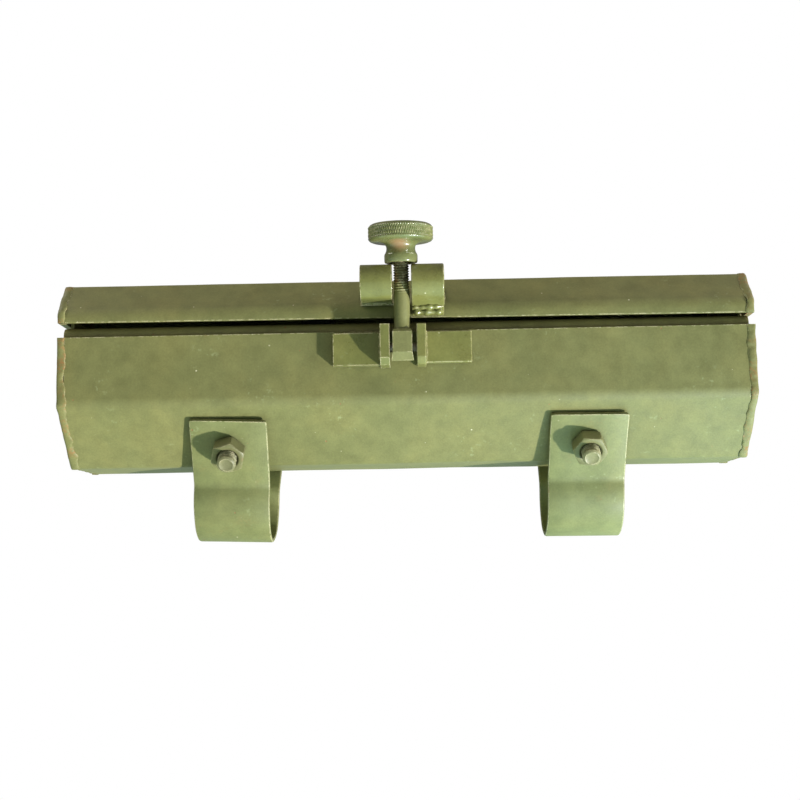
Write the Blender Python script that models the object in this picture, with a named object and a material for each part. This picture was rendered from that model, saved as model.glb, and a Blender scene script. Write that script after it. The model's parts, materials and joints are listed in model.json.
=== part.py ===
"""Clamp-on laser collimator: a sheet-steel housing with a hinged lid and a swing-bolt latch.

Run with: blender --background --python part.py

Metres, +Z up. X runs along the case, -Y is the latch side, +Y the hinge side. The origin is the
centre of the case's flat bottom, which is clamped against a tube by the two straps.
"""

import math

import bmesh
import bpy
from mathutils import Matrix, Vector

MM = 0.001
GAP = 0.3 * MM                      # clearance left between pieces that touch

# Case: an octagonal section, split into a deep body and a shallow lid
CASE_LENGTH = 222 * MM
CASE_DEPTH = 66 * MM
BODY_CHAMFER = 18.75 * MM           # lower 45 degree corners
BODY_TOP = 40.8 * MM                # height of the body's rim
LID_BOTTOM = 45.1 * MM              # height of the lid's rim
LID_RIM_SKEW = 0.45 * MM            # the lid's rim is this much higher at -X and lower at +X
LID_BEND = 49.0 * MM                # height where the lid's wall turns in
LID_CHAMFER = 9.8 * MM              # depth of the lid's sloping corners
CASE_TOP = 59.35 * MM
SHEET = 1.5 * MM
END_PLATE = 2 * MM
LIP_THICKNESS = 1 * MM
LIP_BOTTOM = 32 * MM
LIP_BEND = 41.6 * MM                 # height where the lip starts to roll inwards
LIP_ROLL = 2.7 * MM                  # outer radius of the roll
LIP_CURL = 1.5 * MM                  # flat run behind the roll
LIP_OFFSET = 0.5 * MM               # between a wall and the lip behind it
LIP_TONGUE = 1.0 * MM               # the lip reaches this far over each end plate

# Hinges at the rear
HINGE_X = 60 * MM
HINGE_LENGTH = 30 * MM
HINGE_MIDDLE = 10.6 * MM            # length of the lid's knuckle
KNUCKLE_RADIUS = 2.5 * MM
HINGE_PIN_RADIUS = 1.2 * MM
LEAF = 1.2 * MM
HINGE_Z = 43 * MM
LEAF_BOTTOM = 27 * MM
LEAF_CHAMFER_LENGTH = 8 * MM

# Latch: brackets on the body, swing bolt, knurled nut, lugs on the lid
LATCH_X = -0.8 * MM
LATCH_REACH = 6 * MM                # pivot axis in front of the body's face
LATCH_Z = 34.5 * MM
LATCH_LEAN = math.radians(5.5)      # the closed bolt leans this far forward
PIVOT_RADIUS = 1.5 * MM
BRACKET = 3 * MM                     # thickness of prongs and pads
PRONG_REACH = 9.1 * MM
PRONG_Z = (28.9 * MM, 41.6 * MM)
PRONG_CHAMFER = 2.1 * MM
LEFT_PRONG_X = (-7.8 * MM, -4.8 * MM)
RIGHT_PRONG_X = (3.6 * MM, 6.6 * MM)
LEFT_PAD = ((-22.8 * MM, -6 * MM), (29.5 * MM, 39.8 * MM))      # along X, along Z
RIGHT_PAD = ((5 * MM, 21 * MM), (30 * MM, 40.1 * MM))
PIVOT_PIN = (-7 * MM, 7.4 * MM)
LUG_RADIUS = 5.75 * MM
LEFT_LUG_X = (-13.7 * MM, -3.75 * MM)
RIGHT_LUG_X = (2.25 * MM, 12.5 * MM)
LEFT_LUG_FEET = (49.7 * MM, 49.8 * MM)                          # at its outer and inner end
NUT_SEAT = 26.4 * MM                # pivot axis to the underside of the nut
BOLT_RADIUS = 2.5 * MM
BOLT_LENGTH = 36.5 * MM
EYE_WIDTH = 6.1 * MM
EYE_FLARE = 7.0 * MM
SLEEVE_RADIUS = 3.6 * MM
NUT_BORE = 3.9 * MM
NUT_BORE_TOP = 37 * MM

# Straps for the tube under the case
STRAP_X = (-57.3 * MM, 58.1 * MM)
STRAP_SKEW = (math.radians(2.0), math.radians(0.5))
STRAP_WIDTH = 25 * MM
STRAP = 1.4 * MM
STRAP_HALF_WIDTH = 15.66 * MM       # outside of the U
STRAP_CENTRE_Z = -8.9 * MM          # centre of the U's arc
STRAP_TAB_TOP = (30.5 * MM, 13.2 * MM)
STRAP_TAB_BOTTOM_Z = -6.5 * MM
STRAP_HOLE = 10.6 * MM              # tab's edge to the bolt, along the tab
SCREW_RADIUS = 3 * MM
SCREW_HOLE = 3.4 * MM
SCREW_OUT = 9.2 * MM               # tip beyond the tab's outer face
SCREW_IN = 5.9 * MM                 # head's bearing face behind the tab's outer face
HEAD_HEIGHT = 4 * MM
NUT_HEIGHT = 5.2 * MM
HEX_FLATS = 10 * MM

# Collimator inside the case
BEAM_Z = 23 * MM
TUBE_RADIUS = 13 * MM
TUBE_BORE = 11.6 * MM
TUBE_X = (-80 * MM, 60 * MM)
SADDLE_X = (-30 * MM, 30 * MM)
SADDLE_LENGTH = 10 * MM
PAD = 1 * MM
CRADLE_FOOT = 13.2 * MM              # half the cradle's width on the floor
CRADLE_KNEE = (20 * MM, 8.6 * MM)    # half width and height where its sides turn upright
SCREW_RING_X = -20 * MM             # plane of the three alignment screws
BOARD_X = (-43 * MM, -29 * MM)
BOARD_HALF_WIDTH = 8 * MM
BOARD = 1.2 * MM
WINDOW_RADIUS = 10 * MM
WINDOW_HOLE = 8 * MM

HALF_LENGTH = CASE_LENGTH / 2
HALF_DEPTH = CASE_DEPTH / 2
SHELL_END = HALF_LENGTH - END_PLATE - GAP
HINGE_Y = HALF_DEPTH + GAP + KNUCKLE_RADIUS
PIVOT = Vector((LATCH_X, -HALF_DEPTH - LATCH_REACH, LATCH_Z))
LID_HINGE = Vector((0, HINGE_Y, HINGE_Z))
BEAM = Vector((0, 0, BEAM_Z))


def clear_scene():
    for obj in list(bpy.data.objects):
        bpy.data.objects.remove(obj, do_unlink=True)


def material(name, colour, roughness, metallic):
    mat = bpy.data.materials.new(name)
    mat.use_nodes = True
    shader = mat.node_tree.nodes["Principled BSDF"]
    shader.inputs["Base Color"].default_value = (*colour, 1)
    shader.inputs["Roughness"].default_value = roughness
    shader.inputs["Metallic"].default_value = metallic
    return mat


def make_object(name, bm, mat, parent=None):
    """A mesh object from bm, whose coordinates are the world's, or the parent's if it is turned."""
    bmesh.ops.recalc_face_normals(bm, faces=bm.faces)
    mesh = bpy.data.meshes.new(name)
    bm.to_mesh(mesh)
    bm.free()
    mesh.shade_smooth()
    mesh.set_sharp_from_angle(angle=math.radians(35))
    obj = bpy.data.objects.new(name, mesh)
    bpy.context.scene.collection.objects.link(obj)
    if mat is None:
        obj.hide_render = True
        obj.display_type = "WIRE"
    else:
        mesh.materials.append(mat)
    if parent is not None:
        obj.parent = parent
        if parent.rotation_euler.x == 0:
            obj.location = -parent.location
    return obj


def make_empty(name, location, lean=0):
    empty = bpy.data.objects.new(name, None)
    empty.location = location
    empty.rotation_euler.x = lean
    bpy.context.scene.collection.objects.link(empty)
    return empty


def prism(name, outlines, x_ends, mat, parent=None):
    """Joins a (y, z) outline at one X to an outline with as many points at another X."""
    bm = bmesh.new()
    ends = []
    for outline, x in zip(outlines, x_ends):
        ends.append([bm.verts.new((x, y, z)) for y, z in outline])
    for end in ends:
        bm.faces.new(end)
    count = len(ends[0])
    for i in range(count):
        j = (i + 1) % count
        bm.faces.new((ends[0][i], ends[0][j], ends[1][j], ends[1][i]))
    return make_object(name, bm, mat, parent)


def bar(name, outline, x_ends, mat, parent=None):
    return prism(name, (outline, outline), x_ends, mat, parent)


def block(name, low, high, mat, parent=None):
    outline = [(low[1], low[2]), (high[1], low[2]), (high[1], high[2]), (low[1], high[2])]
    return bar(name, outline, (low[0], high[0]), mat, parent)


def turned(name, profile, segments, base, direction, mat, parent=None):
    """Turns a closed (radius, height) profile about the line through base along direction."""
    bm = bmesh.new()
    circles = []
    for radius, height in profile:
        if radius < 1e-7:
            circles.append([bm.verts.new((0, 0, height))])
            continue
        circle = []
        for i in range(segments):
            angle = 2 * math.pi * i / segments
            circle.append(bm.verts.new((radius * math.cos(angle), radius * math.sin(angle), height)))
        circles.append(circle)
    for k, circle in enumerate(circles):
        following = circles[(k + 1) % len(circles)]
        if len(circle) == 1 and len(following) == 1:
            continue
        for i in range(segments):
            j = (i + 1) % segments
            corners = [circle[i % len(circle)], circle[j % len(circle)]]
            corners += [following[j % len(following)], following[i % len(following)]]
            bm.faces.new(list(dict.fromkeys(corners)))
    turn = Vector((0, 0, 1)).rotation_difference(Vector(direction)).to_matrix().to_4x4()
    bm.transform(Matrix.Translation(base) @ turn)
    return make_object(name, bm, mat, parent)


def disc(name, radius, heights, segments, base, direction, mat, parent=None):
    low, high = heights
    profile = [(0, low), (radius, low), (radius, high), (0, high)]
    return turned(name, profile, segments, base, direction, mat, parent)


def ring(name, outer, inner, heights, segments, base, direction, mat, parent=None):
    low, high = heights
    profile = [(inner, low), (outer, low), (outer, high), (inner, high)]
    return turned(name, profile, segments, base, direction, mat, parent)


def combine(obj, tool, operation):
    tool.parent = obj.parent
    tool.location = obj.location
    mod = obj.modifiers.new(operation.lower(), "BOOLEAN")
    mod.operation = operation
    mod.object = tool


def cut(obj, tool):
    combine(obj, tool, "DIFFERENCE")


def weld(obj, tool):
    combine(obj, tool, "UNION")


def offset_path(path, distance):
    """Points of an open (y, z) path moved to its left by distance, with mitred corners."""
    moved = []
    for i, point in enumerate(path):
        normals = []
        for a, b in ((i - 1, i), (i, i + 1)):
            if a < 0 or b >= len(path):
                continue
            step = Vector(path[b]) - Vector(path[a])
            normals.append(Vector((-step.y, step.x)).normalized())
        total = sum(normals, Vector((0, 0)))
        mitre = total / total.dot(normals[0])
        moved.append(tuple(Vector(point) + mitre * distance))
    return moved


def strip(path, thickness):
    """Outline of a bent sheet: the path is its outer face, the thickness lies to its left."""
    return list(path) + offset_path(path, thickness)[::-1]


def arc(centre, radius, start, end, steps):
    points = []
    for i in range(steps + 1):
        angle = math.radians(start + (end - start) * i / steps)
        points.append((centre[0] + radius * math.cos(angle), centre[1] + radius * math.sin(angle)))
    return points


def hex_prism(name, heights, base, direction, mat, bore_radius=0):
    """A hexagonal prism along direction, with its corners bevelled at the outer face."""
    bm = bmesh.new()
    corner = HEX_FLATS / math.sqrt(3)
    low, high = heights
    levels = ((low, corner), (high - 0.5 * MM, corner), (high, HEX_FLATS / 2))
    hexagons = []
    for height, radius in levels:
        hexagon = []
        for i in range(6):
            angle = math.radians(60 * i + 12)
            hexagon.append(bm.verts.new((radius * math.cos(angle), radius * math.sin(angle), height)))
        hexagons.append(hexagon)
    bm.faces.new(hexagons[0])
    bm.faces.new(hexagons[-1])
    for lower, upper in zip(hexagons, hexagons[1:]):
        for i in range(6):
            j = (i + 1) % 6
            bm.faces.new((lower[i], lower[j], upper[j], upper[i]))
    turn = Vector((0, 0, 1)).rotation_difference(Vector(direction)).to_matrix().to_4x4()
    bm.transform(Matrix.Translation(base) @ turn)
    obj = make_object(name, bm, mat)
    if bore_radius:
        bore = (low - 2 * MM, high + 2 * MM)
        cut(obj, disc(name + "_hole", bore_radius, bore, 20, base, direction, None))
    return obj


def body_outline():
    """The body's outer section, from the front rim round the bottom to the rear rim."""
    flat = HALF_DEPTH - BODY_CHAMFER
    return [
        (-HALF_DEPTH, BODY_TOP), (-HALF_DEPTH, BODY_CHAMFER), (-flat, 0),
        (flat, 0), (HALF_DEPTH, BODY_CHAMFER), (HALF_DEPTH, BODY_TOP),
    ]


def lid_outline(rim):
    """The lid's outer section, from the rear rim over the top to the front rim."""
    flat = HALF_DEPTH - LID_CHAMFER
    return [
        (HALF_DEPTH, rim), (HALF_DEPTH, LID_BEND), (flat, CASE_TOP),
        (-flat, CASE_TOP), (-HALF_DEPTH, LID_BEND), (-HALF_DEPTH, rim),
    ]


def lip_outline(bottom):
    """Section of the front lip, from its rolled top down to bottom."""
    face = -HALF_DEPTH + SHEET + LIP_OFFSET
    roll = arc((face + LIP_ROLL, LIP_BEND), LIP_ROLL, 90, 180, 8)
    behind = (face + LIP_ROLL + LIP_CURL, LIP_BEND + LIP_ROLL)
    return strip([behind] + roll + [(face, bottom)], LIP_THICKNESS)


def strap_frame():
    """Where a strap's front tab carries its screw, and the tab's outward normal, in (y, z)."""
    top = Vector((-STRAP_TAB_TOP[0], STRAP_TAB_TOP[1]))
    bottom = Vector((-STRAP_HALF_WIDTH, STRAP_TAB_BOTTOM_Z))
    along = (bottom - top).normalized()
    return top + along * STRAP_HOLE, Vector((along.y, -along.x))


def screw_axis(x, side):
    """Base point and outward direction of a strap screw; side is -1 in front, 1 behind."""
    hole, normal = strap_frame()
    return Vector((x, -side * hole.x, hole.y)), Vector((0, -side * normal.x, normal.y))


def make_body(paint):
    body = bar("body_trough", strip(body_outline(), SHEET), (-SHELL_END, SHELL_END), paint)
    for x in STRAP_X:
        for side in (-1, 1):
            base, out = screw_axis(x, side)
            name = f"trough_hole_{x:.3f}_{side}"
            cut(body, disc(name, SCREW_HOLE, (-14 * MM, 1 * MM), 20, base, out, None))
    for side, x in (("left", -HALF_LENGTH), ("right", HALF_LENGTH - END_PLATE)):
        plate = bar(f"body_end_{side}", body_outline(), (x, x + END_PLATE), paint)
        if side == "right":
            hole = (HALF_LENGTH - 5 * MM, HALF_LENGTH + 2 * MM)
            cut(plate, disc("window_hole", WINDOW_HOLE, hole, 28, BEAM, (1, 0, 0), None))
    lip = lip_outline(LIP_BOTTOM)
    tongue = lip_outline(BODY_TOP + GAP)
    reach = SHELL_END - GAP
    for side, sign in (("front", 1), ("rear", -1)):
        lip_points = [(y * sign, z) for y, z in lip[::sign]]
        tongue_points = [(y * sign, z) for y, z in tongue[::sign]]
        piece = bar(f"{side}_lip", lip_points, (-reach, reach), paint)
        ends = (-reach - LIP_TONGUE, reach + LIP_TONGUE)
        weld(piece, bar(f"{side}_tongue", tongue_points, ends, None))


def make_lid(paint, foam, lid_axis):
    left = strip(lid_outline(LID_BOTTOM + LID_RIM_SKEW), SHEET)
    right = strip(lid_outline(LID_BOTTOM - LID_RIM_SKEW), SHEET)
    prism("lid_shell", (left, right), (-SHELL_END, SHELL_END), paint, lid_axis)
    ends = (
        ("left", -HALF_LENGTH, LID_BOTTOM + LID_RIM_SKEW),
        ("right", HALF_LENGTH - END_PLATE, LID_BOTTOM - LID_RIM_SKEW),
    )
    for side, x, rim in ends:
        bar(f"lid_end_{side}", lid_outline(rim), (x, x + END_PLATE), paint, lid_axis)
    for side, x in zip(("left", "right"), SADDLE_X):
        low = (x - SADDLE_LENGTH / 2, -11 * MM, BEAM_Z + TUBE_RADIUS + 0.5 * MM)
        high = (x + SADDLE_LENGTH / 2, 11 * MM, CASE_TOP - SHEET - GAP)
        block(f"lid_pad_{side}", low, high, foam, lid_axis)


def make_hinge(side, x, paint, steel, lid_axis):
    near = HALF_DEPTH + GAP
    centre = Vector((x, HINGE_Y, HINGE_Z))
    half = HINGE_LENGTH / 2
    middle = HINGE_MIDDLE / 2
    bore = (-half - 1 * MM, half + 1 * MM)
    along = (1, 0, 0)

    leaf = block(
        f"hinge_leaf_body_{side}", (x - half, near, LEAF_BOTTOM),
        (x + half, near + LEAF, HINGE_Z - KNUCKLE_RADIUS - GAP), paint,
    )
    for k, (low, high) in enumerate(((-half, -middle - GAP), (middle + GAP, half))):
        web_low = (x + low, near, LEAF_BOTTOM + 5 * MM)
        weld(leaf, block(f"body_web_{side}_{k}", web_low, (x + high, near + LEAF, HINGE_Z), None))
        weld(leaf, disc(f"body_knuckle_{side}_{k}", KNUCKLE_RADIUS, (low, high), 20, centre, along, None))
    hole = HINGE_PIN_RADIUS + GAP
    cut(leaf, disc(f"body_leaf_bore_{side}", hole, bore, 16, centre, along, None))

    slope = (Vector((HALF_DEPTH - LID_CHAMFER, CASE_TOP)) - Vector((HALF_DEPTH, LID_BEND))).normalized()
    bend = (near, LID_BEND + 0.15 * MM)
    tip = tuple(Vector(bend) + slope * LEAF_CHAMFER_LENGTH)
    path = [tip, bend, (near, HINGE_Z + KNUCKLE_RADIUS + GAP)]
    lid_leaf = bar(f"hinge_leaf_lid_{side}", strip(path, LEAF), (x - half, x + half), paint, lid_axis)
    web_high = (x + middle, near + LEAF, LID_BEND)
    weld(lid_leaf, block(f"lid_web_{side}", (x - middle, near, HINGE_Z), web_high, None))
    knuckle = (-middle, middle)
    weld(lid_leaf, disc(f"lid_knuckle_{side}", KNUCKLE_RADIUS, knuckle, 20, centre, along, None))
    cut(lid_leaf, disc(f"lid_leaf_bore_{side}", hole, bore, 16, centre, along, None))

    disc(f"hinge_pin_{side}", HINGE_PIN_RADIUS, (-half, half), 16, centre, along, steel)


def make_bracket(side, prong_x, pad, paint):
    """A cheek for the swing bolt's pivot, on a pad welded to the body's front."""
    face = -HALF_DEPTH - GAP
    tip = face - PRONG_REACH
    foot, top = PRONG_Z
    outline = [
        (face, foot), (face, top), (tip, top), (tip, foot + PRONG_CHAMFER), (tip + PRONG_CHAMFER, foot),
    ]
    bracket = bar(f"latch_bracket_{side}", outline, prong_x, paint)
    low, high = zip(*pad)
    weld(bracket, block(f"pad_{side}", (low[0], face - BRACKET, low[1]), (high[0], face, high[1]), None))
    hole = (prong_x[0] - 1 * MM - LATCH_X, prong_x[1] + 1 * MM - LATCH_X)
    cut(bracket, disc(f"pivot_hole_{side}", PIVOT_RADIUS + GAP, hole, 20, PIVOT, (1, 0, 0), None))


def lug_outline(foot):
    """Section of a catch lug: a round nose under the nut, running back to the lid's bend."""
    lean = Matrix.Rotation(LATCH_LEAN, 2)
    nose = Vector((PIVOT.y, PIVOT.z)) + lean @ Vector((0, NUT_SEAT - GAP - LUG_RADIUS))
    slope = (Vector((-HALF_DEPTH + LID_CHAMFER, CASE_TOP)) - Vector((-HALF_DEPTH, LID_BEND))).normalized()
    outward = Vector((-slope.y, slope.x))
    face = Vector((-HALF_DEPTH, LID_BEND)) + outward * GAP
    upper = nose + slope * LUG_RADIUS
    upper_end = upper - outward * (upper - face).dot(outward)
    bend = (-HALF_DEPTH - GAP, LID_BEND)
    top_angle = math.degrees(math.atan2(slope.y, slope.x))
    if foot is None:
        lower_end = (-HALF_DEPTH - GAP, LID_BOTTOM + 0.2 * MM)
        reach = Vector(lower_end) - nose
        turn = math.degrees(math.acos(LUG_RADIUS / reach.length))
        last_angle = math.degrees(math.atan2(reach.y, reach.x)) + 360 - turn
        return [tuple(upper_end)] + arc(nose, LUG_RADIUS, top_angle, last_angle, 14) + [lower_end, bend]
    nose_points = arc(nose, LUG_RADIUS, top_angle, 254, 14)
    return [tuple(upper_end)] + nose_points + [(-HALF_DEPTH - GAP, foot), bend]


def make_lugs(paint, lid_axis):
    left = [lug_outline(foot) for foot in LEFT_LUG_FEET]
    prism("catch_lug_left", left, LEFT_LUG_X, paint, lid_axis)
    bar("catch_lug_right", lug_outline(None), RIGHT_LUG_X, paint, lid_axis)


def make_swing_bolt(paint, steel, latch_axis):
    """The bolt stands along its own +Z, with the eye's hole at its origin."""
    disc("latch_pivot_pin", PIVOT_RADIUS, PIVOT_PIN, 16, PIVOT, (1, 0, 0), steel)
    bm = bmesh.new()
    sections = (
        (-4.1, EYE_FLARE, -1.6, 1.6), (-1.5, EYE_WIDTH, -3.6, 3.6),
        (4.9, EYE_WIDTH, -3.6, 3.6), (5.7, EYE_WIDTH - 0.8 * MM, -3.0, 3.0),
    )
    rings = []
    for height, width, front, back in sections:
        corners = ((-1, front), (1, front), (1, back), (-1, back))
        rings.append([bm.verts.new((s * width / 2, y * MM, height * MM)) for s, y in corners])
    bm.faces.new(rings[0])
    bm.faces.new(rings[-1])
    for lower, upper in zip(rings, rings[1:]):
        for i in range(4):
            j = (i + 1) % 4
            bm.faces.new((lower[i], lower[j], upper[j], upper[i]))
    bolt = make_object("swing_bolt", bm, paint, latch_axis)
    shank = [
        (0, 3 * MM), (BOLT_RADIUS, 3 * MM), (BOLT_RADIUS, BOLT_LENGTH - 0.8 * MM),
        (BOLT_RADIUS - 0.8 * MM, BOLT_LENGTH), (0, BOLT_LENGTH),
    ]
    up = (0, 0, 1)
    origin = (0, 0, 0)
    weld(bolt, turned("shank", shank, 24, origin, up, None, latch_axis))
    cross = disc("eye_hole", PIVOT_RADIUS + GAP, (-6 * MM, 6 * MM), 20, origin, (1, 0, 0), None, latch_axis)
    cut(bolt, cross)


def make_nut(paint, brass, latch_axis):
    up = (0, 0, 1)
    origin = (0, 0, 0)
    sleeve = (NUT_SEAT + 0.6 * MM, NUT_BORE_TOP - GAP)
    ring("nut_thread_sleeve", SLEEVE_RADIUS, BOLT_RADIUS + GAP, sleeve, 24, origin, up, brass, latch_axis)
    outside = [
        (4.6, 26.4), (5.2, 26.7), (5.2, 29.0), (4.8, 29.8), (4.5, 31.0), (4.9, 32.1), (6.2, 32.8),
        (9.2, 33.1), (9.9, 33.5), (10.2, 34.1), (10.2, 37.3), (10.0, 38.0), (9.3, 38.5), (0, 38.8),
    ]
    profile = [(radius * MM, height * MM) for radius, height in outside]
    profile += [(0, NUT_BORE_TOP), (NUT_BORE, NUT_BORE_TOP), (NUT_BORE, NUT_SEAT)]
    turned("knurled_nut", profile, 40, origin, up, paint, latch_axis)


def make_strap(side, x, skew, paint):
    """A U strap with two sloping tabs, turned a little about the line through its screws."""
    half = STRAP_HALF_WIDTH
    tab = [(-STRAP_TAB_TOP[0], STRAP_TAB_TOP[1]), (-half, STRAP_TAB_BOTTOM_Z)]
    curve = arc((0, STRAP_CENTRE_Z), half, 180, 360, 24)
    far_tab = [(-y, z) for y, z in reversed(tab)]
    outline = strip(tab + curve + far_tab, STRAP)
    strap = bar(f"strap_{side}", outline, (-STRAP_WIDTH / 2, STRAP_WIDTH / 2), paint)
    hole, _ = strap_frame()
    pivot = Vector((0, 0, hole.y))
    turn = Matrix.Translation(pivot) @ Matrix.Rotation(skew, 4, "Y") @ Matrix.Translation(-pivot)
    strap.data.transform(Matrix.Translation((x, 0, 0)) @ turn)
    return strap


def make_straps(paint, steel):
    for side, x, skew in zip(("left", "right"), STRAP_X, STRAP_SKEW):
        strap = make_strap(side, x, skew, paint)
        for place, sign in (("front", -1), ("rear", 1)):
            base, out = screw_axis(x, sign)
            name = f"{place}_{side}"
            cut(strap, disc(f"strap_hole_{name}", SCREW_HOLE, (-4 * MM, 4 * MM), 20, base, out, None))
            nut = (0.45 * MM, 0.45 * MM + NUT_HEIGHT)
            hex_prism(f"strap_nut_{name}", nut, base, out, paint, SCREW_RADIUS + GAP)
            screw = hex_prism(f"strap_screw_{name}", (SCREW_IN, SCREW_IN + HEAD_HEIGHT), base, -out, steel)
            shank = [
                (0, -SCREW_OUT), (SCREW_RADIUS - 0.7 * MM, -SCREW_OUT),
                (SCREW_RADIUS, -SCREW_OUT + 0.7 * MM), (SCREW_RADIUS, SCREW_IN + 1 * MM),
                (0, SCREW_IN + 1 * MM),
            ]
            weld(screw, turned(f"screw_shank_{name}", shank, 20, base, -out, None))


def make_cradles(steel, felt):
    for side, x in zip(("left", "right"), SADDLE_X):
        ends = (x - SADDLE_LENGTH / 2, x + SADDLE_LENGTH / 2)
        seat = arc((0, BEAM_Z), TUBE_RADIUS + 2 * GAP + PAD, 180, 360, 20)
        floor = SHEET + GAP
        knee = CRADLE_KNEE
        outline = [(-CRADLE_FOOT, floor), (CRADLE_FOOT, floor), knee, (knee[0], BEAM_Z)]
        outline += seat[::-1] + [(-knee[0], BEAM_Z), (-knee[0], knee[1])]
        bar(f"cradle_{side}", outline, ends, steel)
        outer = arc((0, BEAM_Z), TUBE_RADIUS + GAP + PAD, 182, 358, 20)
        inner = arc((0, BEAM_Z), TUBE_RADIUS + GAP, 358, 182, 20)
        bar(f"cradle_pad_{side}", outer + inner, ends, felt)


def make_collimator(black, aluminium, glass, brass, board, battery_wrap, steel):
    along = (1, 0, 0)
    tube = ring("collimator_tube", TUBE_RADIUS, TUBE_BORE, TUBE_X, 32, BEAM, along, black)
    for k in range(3):
        angle = math.radians(90 + 120 * k)
        out = Vector((0, math.cos(angle), math.sin(angle)))
        base = BEAM + Vector((SCREW_RING_X, 0, 0))
        cut(tube, disc(f"tube_hole_{k}", 1.8 * MM, (8 * MM, 16 * MM), 16, base, out, None))
        head = (TUBE_RADIUS + GAP, TUBE_RADIUS + GAP + 1.6 * MM)
        profile = [
            (0, 9.3 * MM), (1.5 * MM, 9.3 * MM), (1.5 * MM, head[0]), (2.7 * MM, head[0]),
            (2.7 * MM, head[1]), (0, head[1]),
        ]
        turned(f"alignment_screw_{k + 1}", profile, 16, base, out, brass)

    cell = [
        (9.5, 52), (11.3, 52), (11.3, 60.3), (13, 60.3), (13, 69.7), (12.4, 70.3), (9.5, 70.3),
        (9.5, 63), (8, 63), (8, 61), (9.5, 61),
    ]
    turned("lens_cell", [(r * MM, h * MM) for r, h in cell], 32, BEAM, along, aluminium)
    lens = [(0, 63.4), (4, 63.5), (7.5, 63.9), (9.2, 64.4), (9.2, 66.6), (7.5, 67.1), (4, 67.5), (0, 67.6)]
    turned("objective_lens", [(r * MM, h * MM) for r, h in lens], 32, BEAM, along, glass)
    ring("lens_retaining_ring", 9.2 * MM, 7.6 * MM, (67.6 * MM, 69.6 * MM), 32, BEAM, along, black)

    housing = [
        (0, -28), (11.3, -28), (11.3, -23), (9, -23), (9, -17), (11.3, -17), (11.3, -8),
        (3.2, -8), (3.2, -14), (0, -14),
    ]
    turned("diode_housing", [(r * MM, h * MM) for r, h in housing], 32, BEAM, along, aluminium)
    diode = [(0, -13.7), (2.8, -13.7), (2.8, -12.5), (2.35, -12.5), (2.35, -9.4), (0, -9.4)]
    turned("laser_diode", [(r * MM, h * MM) for r, h in diode], 24, BEAM, along, brass)
    low = (BOARD_X[0], -BOARD_HALF_WIDTH, BEAM_Z - BOARD / 2)
    high = (BOARD_X[1], BOARD_HALF_WIDTH, BEAM_Z + BOARD / 2)
    block("circuit_board", low, high, board)

    ring("battery_sleeve", 11.3 * MM, 8.8 * MM, (-79.5 * MM, -45 * MM), 28, BEAM, along, black)
    cell_shape = [(0, -79.3), (8.5, -79.3), (8.5, -47), (2.5, -47), (2.5, -45.6), (0, -45.6)]
    turned("battery", [(r * MM, h * MM) for r, h in cell_shape], 28, BEAM, along, battery_wrap)
    cap = [
        (3.4, -93), (12.4, -93), (13, -92.4), (13, -80.3), (11.3, -80.3), (11.3, -89.5), (3.4, -89.5),
    ]
    turned("battery_cap", [(r * MM, h * MM) for r, h in cap], 32, BEAM, along, black)
    button = [
        (0, -95.4), (2.5, -95.4), (3, -94.9), (3, -89.2), (4.4, -89.2), (4.4, -88.2), (0, -88.2),
    ]
    turned("switch_button", [(r * MM, h * MM) for r, h in button], 24, BEAM, along, brass)
    make_spring(steel)


def make_spring(steel):
    """The contact spring between the cap and the battery."""
    turns = 3
    steps = 14
    first = -86.5 * MM
    last = -80.2 * MM
    curve = bpy.data.curves.new("battery_spring", "CURVE")
    curve.dimensions = "3D"
    curve.bevel_depth = 0.4 * MM
    curve.bevel_resolution = 1
    curve.render_resolution_u = 0
    curve.use_fill_caps = True
    spline = curve.splines.new("POLY")
    spline.points.add(turns * steps)
    for i, point in enumerate(spline.points):
        part = i / (turns * steps)
        angle = 2 * math.pi * turns * part
        radius = (6.5 - 2.5 * part) * MM
        x = first + (last - first) * part
        point.co = (x, radius * math.cos(angle), BEAM_Z + radius * math.sin(angle), 1)
    curve.materials.append(steel)
    obj = bpy.data.objects.new("battery_spring", curve)
    bpy.context.scene.collection.objects.link(obj)


def make_window(glass, rubber, aluminium):
    along = (1, 0, 0)
    plate = HALF_LENGTH - END_PLATE
    gasket = (plate - GAP - 1 * MM, plate - GAP)
    ring("window_gasket", WINDOW_RADIUS, WINDOW_HOLE + GAP, gasket, 28, BEAM, along, rubber)
    pane = (gasket[0] - GAP - 2 * MM, gasket[0] - GAP)
    disc("beam_window", WINDOW_RADIUS, pane, 28, BEAM, along, glass)
    low = pane[0] - GAP - 1.5 * MM
    step = pane[0] - GAP
    holder = [
        (WINDOW_HOLE + GAP, low), (13 * MM, low), (13 * MM, plate - GAP),
        (WINDOW_RADIUS + GAP, plate - GAP), (WINDOW_RADIUS + GAP, step), (WINDOW_HOLE + GAP, step),
    ]
    turned("window_holder", holder, 28, BEAM, along, aluminium)


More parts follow.
